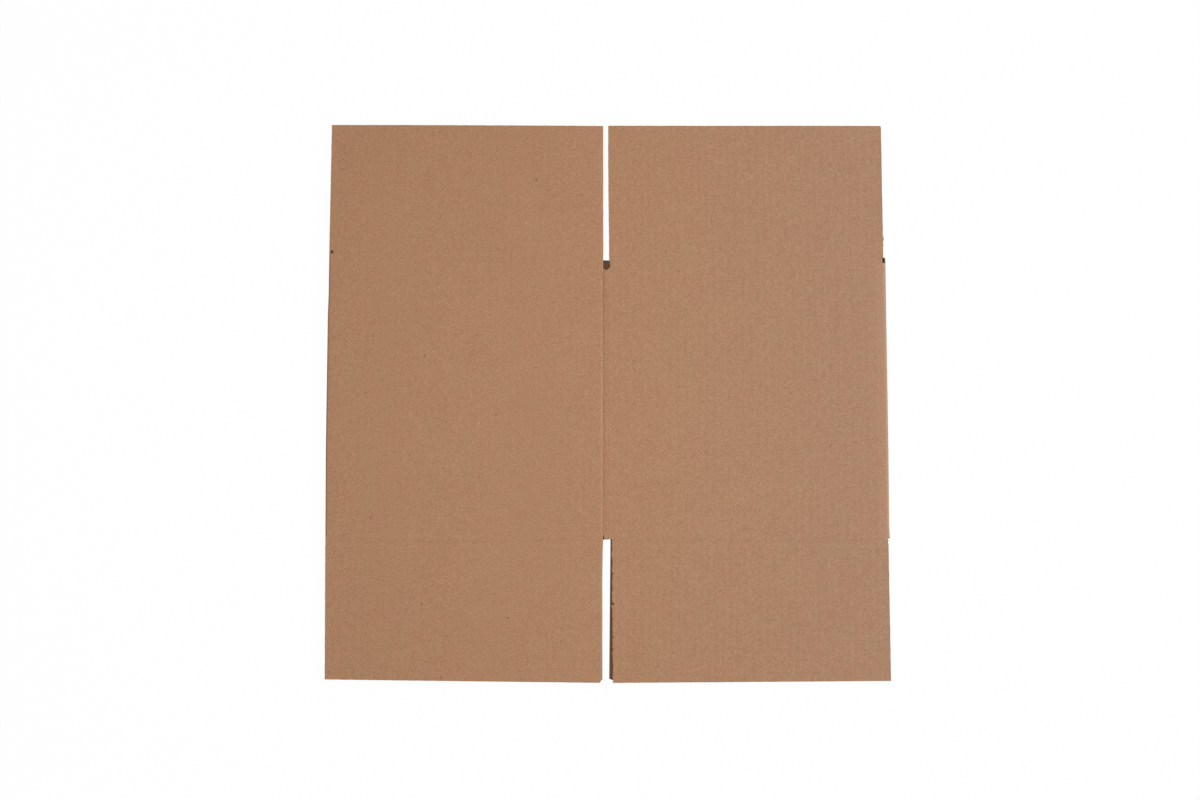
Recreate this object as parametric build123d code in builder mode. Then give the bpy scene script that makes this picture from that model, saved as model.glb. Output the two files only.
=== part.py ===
import os
from math import atan, cos, degrees, sin

from build123d import *

# A regular slotted box of single-wall corrugated board, folded flat on its glued seam.
# X runs from fold to fold, Y along the flutes from flap end to flap end, Z up from the floor.

# Board, B flute
board = 3.0
liner = 0.45
medium = 0.4
flute_pitch = 6.55
flute_crest = 1.3

# Blank, folded flat
panel_width = 253.0
body_height = 257.5
flap_length = 123.5
layer_gap = 0.8
end_trim = 3.1
corner_clip = 1.8
back_setback = 0.8

# Glued seam: the tab of the right panel lies under the raw edge of the left one
tab_width = 35.0
tab_taper = 12.0
tab_top_short = 9.4
tab_bottom_short = 3.1
tab_nick = 1.6
seam_offset = 3.6
seam_flare = 0.75

# Slots and scores
slot_width = 7.0
slot_overcut = 2.0
notch_length = 3.3
notch_depth = 4.6
flap_score_width = 3.0
fold_score_width = 1.6
tab_score_offset = 1.05
back_score_offset = 0.9
score_depth = 0.2

# One row for each pair of flaps, front and back: its side and its end of the box, then shares of
# slot_width for the root of the slot past the score and for the flap's side edge in from the fold,
# at its root and at its end, then shares of end_trim cut off its end, at its outer and inner corner
flap_shares = (
    (-1, 1, 0.73, 0.11, 0.21, 0.0, 0.2),
    (1, 1, -0.59, 0.31, 0.31, 0.32, 0.26),
    (-1, -1, -0.81, 0.2, 0.36, 1.0, 0.08),
    (1, -1, -0.72, 0.23, 0.13, 0.5, 0.0),
)
back_root_share = 0.6

# Shares of slot_width for the right edges of the middle slots, from the root to the flap's end
front_top_edge_shares = (0.46, 0.31, 0.2)
front_bottom_edge_shares = (0.64, 0.78)
back_top_edge_shares = (0.37, 0.37)
back_bottom_edge_shares = (0.47, 0.3)
back_left_edge_share = 0.66

overrun = 5.0

half_body = body_height / 2
half_height = half_body + flap_length
past_end = half_height + overrun
past_fold = panel_width + overrun
outer_radius = board + layer_gap / 2
inner_radius = layer_gap / 2
bend_height = outer_radius
bend_x = panel_width - outer_radius
front_floor = board + layer_gap
seam_floor = front_floor + board
top_height = seam_floor + board
slot_root = half_body - slot_overcut
tab_end = tab_score_offset - tab_width
tab_top = half_body - tab_top_short
tab_bottom = tab_bottom_short - half_body
seam_edge = -seam_offset
seam_end = seam_edge - seam_flare

# The upper right flap's worn corner: where its cut leaves the flap's end
worn_x = panel_width - flap_shares[1][4] * slot_width - corner_clip
worn_y = half_height - flap_shares[1][5] * end_trim

# The left panel climbs from its fold to lie on the tab
climb_angle = atan(board / (tab_end + bend_x))
climb_sine = sin(climb_angle)
climb_cosine = cos(climb_angle)
climb_inner = (-bend_x - inner_radius * climb_sine, bend_height + inner_radius * climb_cosine)
climb_outer = (-bend_x - outer_radius * climb_sine, bend_height + outer_radius * climb_cosine)
climb_length = (tab_end - climb_inner[0]) / climb_cosine
climb_middle_x = (climb_inner[0] + tab_end - board * climb_sine) / 2
climb_middle_z = (climb_inner[1] + seam_floor + board * climb_cosine) / 2

# Straight runs of board in the section: the middle of each, its length and its slope
runs = (
    (0, board / 2, 2 * bend_x, 0),
    ((tab_end + bend_x) / 2, front_floor + board / 2, bend_x - tab_end, 0),
    ((tab_end + seam_edge) / 2, seam_floor + board / 2, seam_edge - tab_end, 0),
    (climb_middle_x, climb_middle_z, climb_length, degrees(climb_angle)),
)

# Where each layer meets a fold: a point of its underside, a point of its top and its slope
front_lips = {
    -1: (climb_inner, climb_outer, climb_sine / climb_cosine),
    1: ((bend_x, front_floor), (bend_x, seam_floor), 0),
}
back_lip = ((bend_x, 0), (bend_x, board), 0)

# The air under one crest of the wave, about the middle of the board, and the air over a trough
foot = (flute_pitch - flute_crest - medium) / 2
head = (flute_crest - medium) / 2
foot_z = liner - board / 2
head_z = board / 2 - liner - medium
under_crest = [(-foot, foot_z), (foot, foot_z), (head, head_z), (-head, head_z)]
over_trough = [(x, -z) for x, z in under_crest]


def fold_slot(side, end, root_share, edge_share, end_share, setback):
    """The waste outside one flap's side edge, from the slot's root to past the flap's end."""
    root = end * (half_body + root_share * slot_width)
    root_x = side * (panel_width - setback - edge_share * slot_width)
    end_x = side * (panel_width - setback - end_share * slot_width)
    outside = side * past_fold
    return [(outside, root), (root_x, root), (end_x, end * past_end), (outside, end * past_end)]


def bend_waste(side, end, root_share):
    """The bend beyond the root of one slot, which is cut away before the flaps get their lips."""
    root = end * (half_body + root_share * slot_width)
    inside, outside = side * bend_x, side * past_fold
    return [(outside, root), (inside, root), (inside, end * past_end), (outside, end * past_end)]


def lip_section(side, floor, ceiling, slope):
    """One layer running straight on past the start of a fold, as a flap does beside its slot."""
    ends = (side * bend_x, side * panel_width)
    under = [(x, floor[1] + (x - floor[0]) * slope) for x in ends]
    over = [(x, ceiling[1] + (x - ceiling[0]) * slope) for x in reversed(ends)]
    return under + over


def end_waste(side, end, outer_share, inner_share, setback):
    """The waste past one flap's end, which is cut a little out of square."""
    outer = end * (half_height - setback - outer_share * end_trim)
    inner = end * (half_height - setback - inner_share * end_trim)
    outside = side * past_fold
    return [(outside, outer), (0, inner), (0, end * past_end), (outside, end * past_end)]


def fold_notch(side, root_share, length, depth):
    """A nick in the front layer alone, at the root of an upper slot."""
    root = half_body + root_share * slot_width
    inside = side * (panel_width - depth)
    outside = side * past_fold
    return [(outside, root), (inside, root), (inside, root + length), (outside, root + length)]


def back_slot(end, edge_shares):
    """The slot between the two back flaps at one end of the box."""
    left = -back_left_edge_share * slot_width
    root_x, end_x = [share * slot_width for share in edge_shares]
    root = end * slot_root
    return [(left, root), (root_x, root), (end_x, end * past_end), (left, end * past_end)]


def tab_top_waste():
    """What is cut off above the tab, with the slot's nicked root and its right edge."""
    root_x, middle_x, end_x = [share * slot_width for share in front_top_edge_shares]
    taper = [(tab_end, past_end), (tab_end, tab_top - tab_taper), (seam_edge, tab_top)]
    nick = [(0, tab_top - tab_nick), (root_x, tab_top + tab_nick)]
    return taper + nick + [(middle_x, slot_root), (end_x, past_end)]


def tab_bottom_waste():
    """What is cut off below the tab, with the slot's right edge."""
    root_x, end_x = [share * slot_width for share in front_bottom_edge_shares]
    taper = [(tab_end, -past_end), (tab_end, tab_bottom + tab_taper), (seam_edge, tab_bottom)]
    return taper + [(root_x, tab_bottom), (end_x, -past_end)]


# Outer outline of the section: one strip, folded at both sides and lapped on its tab
with BuildSketch(Plane.XZ) as outline:
    with BuildLine():
        Line((seam_edge, top_height), (seam_edge, seam_floor))
        Line((seam_edge, seam_floor), (bend_x, seam_floor))
        ThreePointArc((bend_x, seam_floor), (panel_width, bend_height), (bend_x, 0))
        Line((bend_x, 0), (-bend_x, 0))
        ThreePointArc((-bend_x, 0), (-panel_width, bend_height), climb_outer)
        Line(climb_outer, (tab_end, top_height))
        Line((tab_end, top_height), (seam_edge, top_height))
    make_face()

# What comes off the folded strip: slots, notches, flap ends, the tab's ends and the scores
with BuildPart() as waste:
    with BuildSketch(Plane.XY.offset(bend_height)):
        for side, end, root_share, edge_share, end_share, outer_share, inner_share in flap_shares:
            Polygon(*fold_slot(side, end, root_share, edge_share, end_share, 0), align=None)
            Polygon(*end_waste(side, end, outer_share, inner_share, 0), align=None)
        Polygon(*fold_notch(-1, flap_shares[0][2], notch_length, notch_depth), align=None)
        Polygon(*fold_notch(1, flap_shares[1][2], notch_depth, notch_length), align=None)
        Polygon((seam_edge, tab_bottom), (seam_end, -past_end), (seam_edge, -past_end), align=None)
        Polygon((seam_end, corner_clip - half_height), (seam_end, -past_end),
                (seam_end - corner_clip, -half_height), align=None)
        Polygon((worn_x, past_end), (worn_x, worn_y), (past_fold, worn_y - past_fold + worn_x),
                (past_fold, past_end), align=None)
    extrude(amount=top_height)
    with BuildSketch(Plane.XY.offset(-overrun)):
        for side, end, root_share, edge_share, end_share, outer_share, inner_share in flap_shares:
            back_share = root_share + back_root_share
            Polygon(*fold_slot(side, end, back_share, edge_share, end_share, back_setback), align=None)
            Polygon(*end_waste(side, end, outer_share, inner_share, back_setback), align=None)
        Polygon(*back_slot(1, back_top_edge_shares), align=None)
        Polygon(*back_slot(-1, back_bottom_edge_shares), align=None)
    extrude(amount=overrun + bend_height)
    with BuildSketch(Plane.XY.offset(bend_height)):
        Polygon(*tab_top_waste(), align=None)
        Polygon(*tab_bottom_waste(), align=None)
    extrude(amount=seam_floor - bend_height)
    for score_y in (half_body, -half_body):
        with BuildSketch(Plane.XZ.offset(score_y - flap_score_width / 2)):
            add(outline.sketch_local)
            offset(amount=-score_depth, mode=Mode.SUBTRACT)
        extrude(amount=flap_score_width)
    with BuildSketch(Plane.XY.offset(seam_floor - score_depth)):
        with Locations((tab_score_offset, (tab_top + tab_bottom) / 2)):
            Rectangle(fold_score_width, tab_top - tab_bottom)
    extrude(amount=score_depth)
    with BuildSketch(Plane.XY):
        with Locations((-back_score_offset, 0)):
            Rectangle(fold_score_width, 2 * slot_root)
    extrude(amount=score_depth)

# The bends beyond the slots' roots, and the straight lips that the flaps have there instead
with BuildPart() as bends:
    for end_height, added_share in ((top_height, 0), (-overrun, back_root_share)):
        with BuildSketch(Plane.XY.offset(bend_height)):
            for side, end, root_share, *_ in flap_shares:
                Polygon(*bend_waste(side, end, root_share + added_share), align=None)
        extrude(amount=end_height - bend_height)
with BuildPart() as lips:
    for side, end, root_share, *_ in flap_shares:
        for share, lip in ((root_share, front_lips[side]), (root_share + back_root_share, back_lip)):
            root = half_body + share * slot_width
            start = half_height if end > 0 else -root
            with BuildSketch(Plane.XZ.offset(-start)):
                Polygon(*lip_section(side, *lip), align=None)
            extrude(amount=half_height - root)
    add(waste.part, mode=Mode.SUBTRACT)

# The folded strip with its flutes, less the bends and the waste
with BuildPart() as folded_blank:
    with BuildSketch(Plane.XZ.offset(-half_height)):
        add(outline.sketch_local)
        with BuildLine():
            Line((tab_end, front_floor), (bend_x, front_floor))
            ThreePointArc((bend_x, front_floor), (bend_x + inner_radius, bend_height), (bend_x, board))
            Line((bend_x, board), (-bend_x, board))
            ThreePointArc((-bend_x, board), (-bend_x - inner_radius, bend_height), climb_inner)
            Line(climb_inner, (tab_end, seam_floor))
            Line((tab_end, seam_floor), (tab_end, front_floor))
        make_face(mode=Mode.SUBTRACT)
        for middle_x, middle_z, length, slope in runs:
            count = int(length / flute_pitch)
            with Locations(Location((middle_x, middle_z, 0), (0, 0, slope))):
                with GridLocations(flute_pitch, 0, count, 1):
                    Polygon(*under_crest, align=None, mode=Mode.SUBTRACT)
                with GridLocations(flute_pitch, 0, count - 1, 1):
                    Polygon(*over_trough, align=None, mode=Mode.SUBTRACT)
    extrude(amount=2 * half_height)
    add(bends.part, mode=Mode.SUBTRACT)
    add(waste.part, mode=Mode.SUBTRACT)
    add(lips.part)
folded_blank.part.label = "folded_blank"

os.makedirs("parts", exist_ok=True)
export_step(folded_blank.part, "parts/folded_blank.step")
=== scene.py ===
import math

import bmesh
import bpy
import numpy as np
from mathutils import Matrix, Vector


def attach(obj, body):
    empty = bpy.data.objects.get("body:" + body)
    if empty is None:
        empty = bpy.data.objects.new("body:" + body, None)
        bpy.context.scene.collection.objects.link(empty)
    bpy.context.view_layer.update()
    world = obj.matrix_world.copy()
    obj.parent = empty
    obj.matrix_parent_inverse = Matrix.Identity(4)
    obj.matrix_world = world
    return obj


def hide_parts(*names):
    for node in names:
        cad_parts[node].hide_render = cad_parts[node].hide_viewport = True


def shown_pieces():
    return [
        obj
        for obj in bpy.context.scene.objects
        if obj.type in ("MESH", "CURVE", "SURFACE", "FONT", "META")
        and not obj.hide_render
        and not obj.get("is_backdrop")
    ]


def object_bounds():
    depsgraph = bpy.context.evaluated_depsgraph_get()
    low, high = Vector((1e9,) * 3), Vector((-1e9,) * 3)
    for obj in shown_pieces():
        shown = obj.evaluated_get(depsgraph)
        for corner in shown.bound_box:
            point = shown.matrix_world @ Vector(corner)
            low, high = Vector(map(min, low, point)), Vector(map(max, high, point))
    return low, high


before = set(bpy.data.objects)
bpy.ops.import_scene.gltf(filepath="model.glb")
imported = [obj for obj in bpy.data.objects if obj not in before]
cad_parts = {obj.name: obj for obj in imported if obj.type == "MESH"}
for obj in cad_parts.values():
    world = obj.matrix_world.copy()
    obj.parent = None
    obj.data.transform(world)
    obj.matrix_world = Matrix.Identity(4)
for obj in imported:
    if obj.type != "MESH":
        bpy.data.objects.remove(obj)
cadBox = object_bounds()
print("frame loaded:", ", ".join(sorted(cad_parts)))

mm = 0.001
hair = 0.01  # slack in comparing rows, in mm
blankNode = "folded_blank"

# The board and its fold, in millimetres, as in the part's source, and how far the back flaps' ends are set back
board = {
    "thickness": 3.0,
    "liner": 0.34,
    "fluting": 0.28,
    "pitch": 6.55,
    "panelWidth": 253.0,
    "foldX": 249.6,
    "foldZ": 3.4,
    "foldRadius": 3.4,
    "backStrip": (246.5, 243.0),
    "panelTop": 6.8,
    "seamTop": 9.8,
    "seamEdge": 3.6,
    "tabEnd": -33.95,
    "spring": (0.4, 0.6),
    "halfBody": 128.75,
    "halfHeight": 252.25,
    "trimFrom": 150.0,
    "backSetback": 0.8,
    "slotSetback": 1.45,
}

# Each flap: slot root, side edge in from the fold at root and end, end trim at outer and inner corner,
# how much further the back layer's fold runs, and the notch's length and where it starts
flaps = {
    (-1, 1): {"root": 133.2, "edge": (0.77, 1.47), "trim": (0.05, 1.83), "backStep": 4.7, "notch": (3.0, 248.4)},
    (1, 1): {"root": 124.62, "edge": (2.45, 2.75), "trim": (0.99, 0.81), "backStep": 5.8, "notch": (4.9, 250.3)},
    (-1, -1): {"root": 123.08, "edge": (1.1, 2.45), "trim": (3.1, 0.25), "backStep": 0.8, "notch": None},
    (1, -1): {"root": 123.71, "edge": (1.85, 1.5), "trim": (1.75, 0.0), "backStep": 0.8, "notch": None},
}

# Edges of the front layer beside the seam and the middle slots: y, then distance from the middle
slotLines = {
    1: ((-257.25, -244.5, -242.4, -232.7, -230.5, -180.0, -125.65, -100.0, 100.0, 121.5, 124.3, 126.2,
         127.0, 162.0, 190.0, 248.0, 257.25),
        (4.45, 4.6, 5.05, 5.0, 4.72, 4.55, 4.23, 3.2, 3.15, 2.9, 2.65, 1.95, 1.8, 1.55, 1.1, 0.97, 1.3)),
    -1: ((-257.25, -240.0, -215.0, -200.0, -165.0, -151.0, -137.0, -129.0, -126.0, -124.0, 117.0, 125.0,
          128.5, 249.0, 257.25),
         (5.05, 4.95, 4.5, 4.3, 4.45, 4.3, 4.05, 3.75, 3.45, 4.2, 4.15, 3.75, 3.5, 3.5, 3.8)),
}
slotReach = 30.0

# The glue tab: rows at its ends, their lines over x, and how far along y their pull is felt
tab = {
    "top": 119.35, "topFade": (78.0, 128.0),
    "topLine": ((-33.95, -3.6, -0.35, 3.2, 26.0), (107.35, 119.35, 117.8, 120.6, 119.35)),
    "low": -125.65, "lowFade": (-130.0, -88.0),
    "lowLine": ((-33.95, -4.4, -3.6, -2.9, -2.2, 3.2), (-113.65, -121.8, -122.3, -125.0, -125.75, -125.1)),
}

# Relief of the outer liner: flute washboard, flap scores, the rolled folds and the pressed raw edge
relief = {
    "washboard": {1: 0.085, -1: 0.052},
    "scoreGroove": 0.26,
    "scoreWidth": 2.0,
    "scoreRidge": 0.09,
    "ridgeOffset": 4.7,
    "ridgeWidth": 1.7,
    "roll": {1: (0.62, 4.0), -1: (0.1, 1.4)},
    "rollFade": 7.0,
    "rawEdge": (0.4, 0.5),
    "seamRun": (-125.0, -60.0, 0.0, 60.0, 119.0),
    "seamFade": 3.0,
    "edgeShare": (1.0, 1.15, 1.4, 0.75, 0.6),
    "seamFoot": (0.1, 0.5),
    "footShare": (0.5, 0.4, 0.3, 0.9, 2.0),
    "foldPress": {1: 2.3, -1: 3.8},
    "tuckRun": (-123.0, -121.5, -119.5, -90.0, -45.0, 78.0, 96.0),
    "foldTuck": {1: (0.0, 0.0, 0.4, 0.25, 0.0, 0.0, 0.0), -1: (0.8, 0.8, 0.75, 0.5, 0.0, 0.0, 0.48)},
    "notchSqueeze": {1: 0.12, -1: 0.0},
    "tabScore": 0.1,
    "tabScoreAt": 1.05,
    "tabRidge": (1.1, 0.7),
    "tabGroove": (0.8, 0.5),
}

# Slack of the front panels, and the spring of the flap ends
slack = {
    "wave": 0.1, "waveSize": 150.0, "waveSeed": 11, "lift": 0.7, "liftShare": (0.55, 0.45), "liftSize": 420.0,
    "liftSeed": 12, "liftFrom": 150.0, "liftRun": 105.0, "foldClear": 249.0, "foldRun": 70.0, "headroom": 3.0,
    "headShare": 0.75,
}

# How far the cut edges stray from their lines, the waves along each (seed, size), the nibs on the right flaps
# (place, width, share of nib), and the bites and teeth of the lower slot's edge (place, depth)
raggedness = {
    "fine": 0.09, "endShare": 0.6, "lowerSlot": 0.16, "lowerFrom": 128.0, "lowerRun": 4.0, "tooth": 0.42, "nib": 0.9,
    "biteWidth": 1.5,
    "waves": {"rightOuter": (21, 9.0), "leftOuter": (22, 9.0), "rightSlot": (23, 11.0), "leftSlot": (25, 14.0),
              "lowerSlot": (24, 6.0), "tooth": (29, 2.0), "lowEnd": (25, 10.0), "highEnd": (27, 10.0)},
    "nibs": ((146.6, 1.6, 1.0), (141.2, 1.3, 0.4), (-125.1, 0.7, -0.7), (-128.5, 0.6, -0.6)),
    "bites": ((-155.9, 0.6), (-169.2, 0.75), (-182.7, 2.1), (-184.6, -1.7), (-195.8, 0.5), (-211.9, 1.15),
              (-222.3, 0.55), (-237.5, 0.4)),
}

# Worn flap corners: top right outer corner and bottom left inner corner
wear = {
    "rightIn": 0.3, "rightDown": (0.3, 1.5), "rightBackDown": 1.2,
    "leftRise": 2.4, "leftReach": 1.9, "leftGap": 0.3,
}

# Grid lines: columns by the seam, rows that the even spacing must not miss, steps round a bend and out to a lip
seamColumns = {
    1: (-33.95, -26.0, -18.0, -10.0, -6.0, -3.6, -2.9, -2.2, -1.4, -0.7, 0.0, 0.55, 1.05, 1.55, 2.3, 3.2),
    -1: (3.6, 3.75, 3.95, 4.25, 4.7, 5.4),
}
rowMarks = {
    "lowEnd": (0.0, 1.8, 3.2), "highEnd": (0.0, 1.8), "root": (0.0, 0.8), "notch": (1.7, 2.6, 3.6, 4.8),
    "score": (0.6, 1.4, 2.4, 3.4, 4.7, 6.0, 7.5),
    "nibs": (140.0, 141.2, 142.4, 144.3, 145.4, 146.6, 147.8, 148.9, -125.1, -126.7, -127.6, -128.5, -129.4),
}
leastRowGap = 0.28
bendSteps = 14
lipSteps = 2

# Soft noise: how many waves, and the least and greatest share of its size that they have
noiseWaves = 7
waveSpread = (0.6, 1.6)


def smooth(t):
    t = np.clip(t, 0.0, 1.0)
    return t * t * (3 - 2 * t)


def softNoise(x, y, seed, size):
    # a few sine waves in seeded directions, about -1 to 1
    rng = np.random.default_rng(seed)
    total = np.zeros(np.broadcast(x, y).shape)
    for _ in range(noiseWaves):
        angle, phase = rng.uniform(0, 2 * math.pi, 2)
        k = 2 * math.pi / (size * rng.uniform(*waveSpread))
        total += np.sin((x * math.cos(angle) + y * math.sin(angle)) * k + phase)
    return total / (noiseWaves / 2)


def strayLine(along, label):
    return softNoise(along, 0 * along, *raggedness["waves"][label])


def rightOuterEdge(y):
    nibs = sum(share * math.exp(-((y - place) / width) ** 2) for place, width, share in raggedness["nibs"])
    return float(raggedness["fine"] * strayLine(np.array(y), "rightOuter")) + raggedness["nib"] * nibs


def leftOuterEdge(y):
    return float(raggedness["fine"] * strayLine(np.array(y), "leftOuter"))


def rightSlotEdge(y):
    low = smooth((-y - raggedness["lowerFrom"]) / raggedness["lowerRun"])
    bites = sum(depth * np.clip(1 - np.abs(y - place) / raggedness["biteWidth"], 0.0, 1.0)
                for place, depth in raggedness["bites"])
    rough = raggedness["lowerSlot"] * strayLine(y, "lowerSlot") + raggedness["tooth"] * strayLine(y, "tooth")
    return raggedness["fine"] * strayLine(y, "rightSlot") + low * rough + bites


def leftSlotEdge(y):
    return raggedness["fine"] * strayLine(y, "leftSlot")


def endEdge(x, sign):
    waves = strayLine(x, "highEnd" if sign > 0 else "lowEnd")
    return raggedness["fine"] * (1 + waves) * raggedness["endShare"]


ragged = {"outer": {1: rightOuterEdge, -1: leftOuterEdge}, "slot": {1: rightSlotEdge, -1: leftSlotEdge}, "end": endEdge}


def panelHeight(side, x):
    # top of the front layer over a mirrored x, which is positive on both sides
    if side > 0:
        return np.full_like(x, board["panelTop"])
    # the left panel springs up from its fold and lies level on the tab
    far = np.clip((x + board["tabEnd"]) / (board["foldX"] + board["tabEnd"]), 0.0, None)
    even, late = board["spring"]
    return board["seamTop"] - (board["seamTop"] - board["panelTop"]) * (even * far + late * far ** 2)


def frontLift(x, y):
    # how far the front layer stands off its CAD plane, in mm
    fromFold = smooth((slack["foldClear"] - np.abs(x)) / slack["foldRun"])
    lift = slack["wave"] * softNoise(x, y, slack["waveSeed"], slack["waveSize"])
    nearEnd = smooth((np.abs(y) - slack["liftFrom"]) / slack["liftRun"])
    even, uneven = slack["liftShare"]
    spring = even + uneven * softNoise(x, y, slack["liftSeed"], slack["liftSize"])
    lift = lift + slack["lift"] * nearEnd * spring
    lift = lift * fromFold
    leftTop = panelHeight(-1, np.clip(-x, 0.0, board["panelWidth"]))
    headroom = np.where(x < 0, board["seamTop"] - leftTop, slack["headroom"])
    return np.minimum(lift, slack["headShare"] * headroom)


def slotEdge(side, y):
    return np.interp(y, *slotLines[side])


def endWeight(y, sign):
    # 0 on the body, rising to 1 at the flap's end
    return np.clip((sign * y - board["trimFrom"]) / (board["halfHeight"] - board["trimFrom"]), 0.0, 1.0)


def endTrim(side, sign, across):
    return np.interp(across, (0.0, board["panelWidth"]), flaps[(side, sign)]["trim"][::-1])


def slotSetback(across):
    # the lower back flaps end a little short beside the middle slot
    return board["slotSetback"] * (1 - np.abs(across) / board["panelWidth"])


def mergedRows(marks, bands):
    # special rows, with the gaps between them filled at each band's spacing
    marks = sorted(marks)
    kept = [marks[0]]
    for mark in marks[1:]:
        if mark - kept[-1] > leastRowGap:
            kept.append(mark)
    rows = []
    for low, high in zip(kept, kept[1:]):
        middle = abs(low + high) / 2
        step = next(size for reach, size in bands if middle < reach)
        count = max(1, round((high - low) / step))
        rows += list(np.linspace(low, high, count + 1)[:-1])
    return np.array(rows + [kept[-1]])


def slabMesh(name, outer, inner, keep):
    # a closed sheet between two grids of points, with walls round every cell that is left out
    rows, columns = outer.shape[:2]
    used = np.zeros((rows, columns), bool)
    for dj, di in ((0, 0), (0, 1), (1, 0), (1, 1)):
        used[dj:rows - 1 + dj, di:columns - 1 + di] |= keep
    index = np.full((rows, columns), -1)
    index[used] = np.arange(used.sum())
    total = int(used.sum())
    points = np.concatenate([outer[used], inner[used]]) * mm
    j, i = np.nonzero(keep)
    ring = [index[j, i], index[j, i + 1], index[j + 1, i + 1], index[j + 1, i]]
    faces = [np.stack(ring, 1), np.stack(ring[::-1], 1) + total]
    padded = np.pad(keep, 1)
    neighbours = (padded[j, i + 1], padded[j + 1, i + 2], padded[j + 2, i + 1], padded[j + 1, i])
    for k, present in enumerate(neighbours):
        a, b = ring[k][~present], ring[(k + 1) % 4][~present]
        faces.append(np.stack([b, a, a + total, b + total], 1))
    wallStart = len(faces[0]) * 2
    faces = np.concatenate(faces)
    mesh = bpy.data.meshes.new(name)
    mesh.from_pydata(points.tolist(), [], faces.tolist())
    slots = np.zeros(len(faces), np.int32)
    slots[wallStart:] = 1
    mesh.polygons.foreach_set("material_index", slots)
    return mesh


def sideColumns(side, step):
    # mirrored x of the columns from the seam out to the fold, and which of them runs along the middle slot
    inner = list(seamColumns[side])
    reach = flaps[(side, 1)]["notch"][1]
    count = round((reach - inner[-1]) / (board["pitch"] / step))
    flat = inner + list(np.linspace(inner[-1], reach, count + 1)[1:])
    if reach < board["foldX"]:
        flat.append(board["foldX"])
    return np.array(flat), len(inner) - 1 if side > 0 else 0


def sideRows(side, bands):
    half, end = board["halfBody"], board["halfHeight"]
    top = flaps[(side, 1)]
    notchEnd = top["root"] + top["notch"][0]
    marks = [-end + d for d in rowMarks["lowEnd"]] + [end - d for d in rowMarks["highEnd"]] + [notchEnd]
    for sign in (-1, 1):
        flap = flaps[(side, sign)]
        marks += [sign * (flap["root"] + d) for d in (*rowMarks["root"], flap["backStep"])]
        marks += [sign * (half + way * d) for way in (-1, 1) for d in rowMarks["score"]]
    exact = [-flaps[(side, -1)]["root"], top["root"]]
    if side > 0:
        exact += [tab["top"], tab["low"]]
        marks += [tab["top"], tab["low"], *rowMarks["nibs"]]
        marks += [top["root"] + d for d in rowMarks["notch"]]
        reach = raggedness["biteWidth"]
        marks += [place + d for place, _ in raggedness["bites"] for d in (-reach, 0.0, reach)]
    else:
        exact.append(notchEnd)
    rows = mergedRows(marks, bands)
    for place in exact:
        rows[np.abs(rows - place).argmin()] = place
    return rows


def bendLine(side, steps):
    # angles and unit outline of a pressed fold, from the front round to the back
    angles = math.pi / 2 - math.pi * np.arange(steps + 1) / steps
    power = 2 / relief["foldPress"][side]
    across = np.abs(np.cos(angles)) ** power
    return angles, across, np.sign(np.sin(angles)) * np.abs(np.sin(angles)) ** power


def foldTuck(side, rows):
    return np.interp(rows, relief["tuckRun"], relief["foldTuck"][side])[:, None]


def foldedStrip(side, step, bands):
    # grids of points and normals for one half: the front out to its fold, the bend and a strip of the back
    flat, slotColumn = sideColumns(side, step)
    rows = sideRows(side, bands)
    backX = np.array([board["foldX"], *board["backStrip"]])
    columns = len(flat) + bendSteps - 1 + len(backX)
    foldAt = len(flat) - 1
    backAt = foldAt + bendSteps
    x = np.zeros((len(rows), columns))
    z, nx, nz = x.copy(), x.copy(), np.ones_like(x)
    y = np.repeat(rows[:, None], columns, 1)
    x[:, :foldAt + 1] = flat
    angles, across, height = bendLine(side, bendSteps)
    bend = slice(foldAt, backAt + 1)
    x[:, bend] = board["foldX"] + (board["foldRadius"] - foldTuck(side, rows)) * across
    z[:, bend] = board["foldZ"] + board["foldRadius"] * height
    nx[:, bend], nz[:, bend] = np.cos(angles), np.sin(angles)
    x[:, backAt:] = backX
    z[:, backAt:], nx[:, backAt:], nz[:, backAt:] = 0.0, 0.0, -1.0
    nx[:, foldAt], nz[:, foldAt] = 0.0, 1.0
    return {"x": x, "y": y, "z": z, "nx": nx, "nz": nz, "side": side, "rows": rows, "flat": flat, "angles": angles,
            "slotColumn": slotColumn, "foldAt": foldAt, "backAt": backAt}


def flapAt(side, rowY):
    return flaps[(side, 1 if rowY > 0 else -1)]


def frontIsCut(side, rowY):
    # past the slot root the front layer ends in a cut edge, apart from the rim at the left notch
    top = flaps[(side, 1)]
    inRim = side < 0 and 0 < rowY - top["root"] < top["notch"][0] - hair
    return abs(rowY) > flapAt(side, rowY)["root"] + hair and not inRim


def cutLips(sheet):
    # past the slot roots each layer runs straight on as a lip
    side, foldAt, backAt, foldX = sheet["side"], sheet["foldAt"], sheet["backAt"], board["foldX"]
    x, z, nx, nz = (sheet[key] for key in ("x", "z", "nx", "nz"))
    for j, rowY in enumerate(sheet["rows"]):
        flap = flapAt(side, rowY)
        beyond = abs(rowY) - flap["root"]
        inset = np.interp(beyond / (board["halfHeight"] - flap["root"]), (0, 1), flap["edge"])
        edge = board["panelWidth"] - inset + ragged["outer"][side](rowY)
        for k in range(1, lipSteps + 1):
            if frontIsCut(side, rowY):
                x[j, foldAt + k] = foldX + (edge - foldX) * k / lipSteps
                nx[j, foldAt + k], nz[j, foldAt + k] = 0.0, 1.0
            if beyond > flap["backStep"] + hair:
                x[j, backAt - k] = foldX + (edge - board["backSetback"] - foldX) * k / lipSteps
                z[j, backAt - k], nx[j, backAt - k], nz[j, backAt - k] = 0.0, 0.0, -1.0
        if hair < beyond <= flap["backStep"] + hair:
            squeeze = 1 - relief["notchSqueeze"][side] * (beyond / flap["backStep"]) ** 2
            part = slice(foldAt + bendSteps // 2, backAt)
            x[j, part] = foldX + (x[j, part] - foldX) * squeeze


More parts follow.
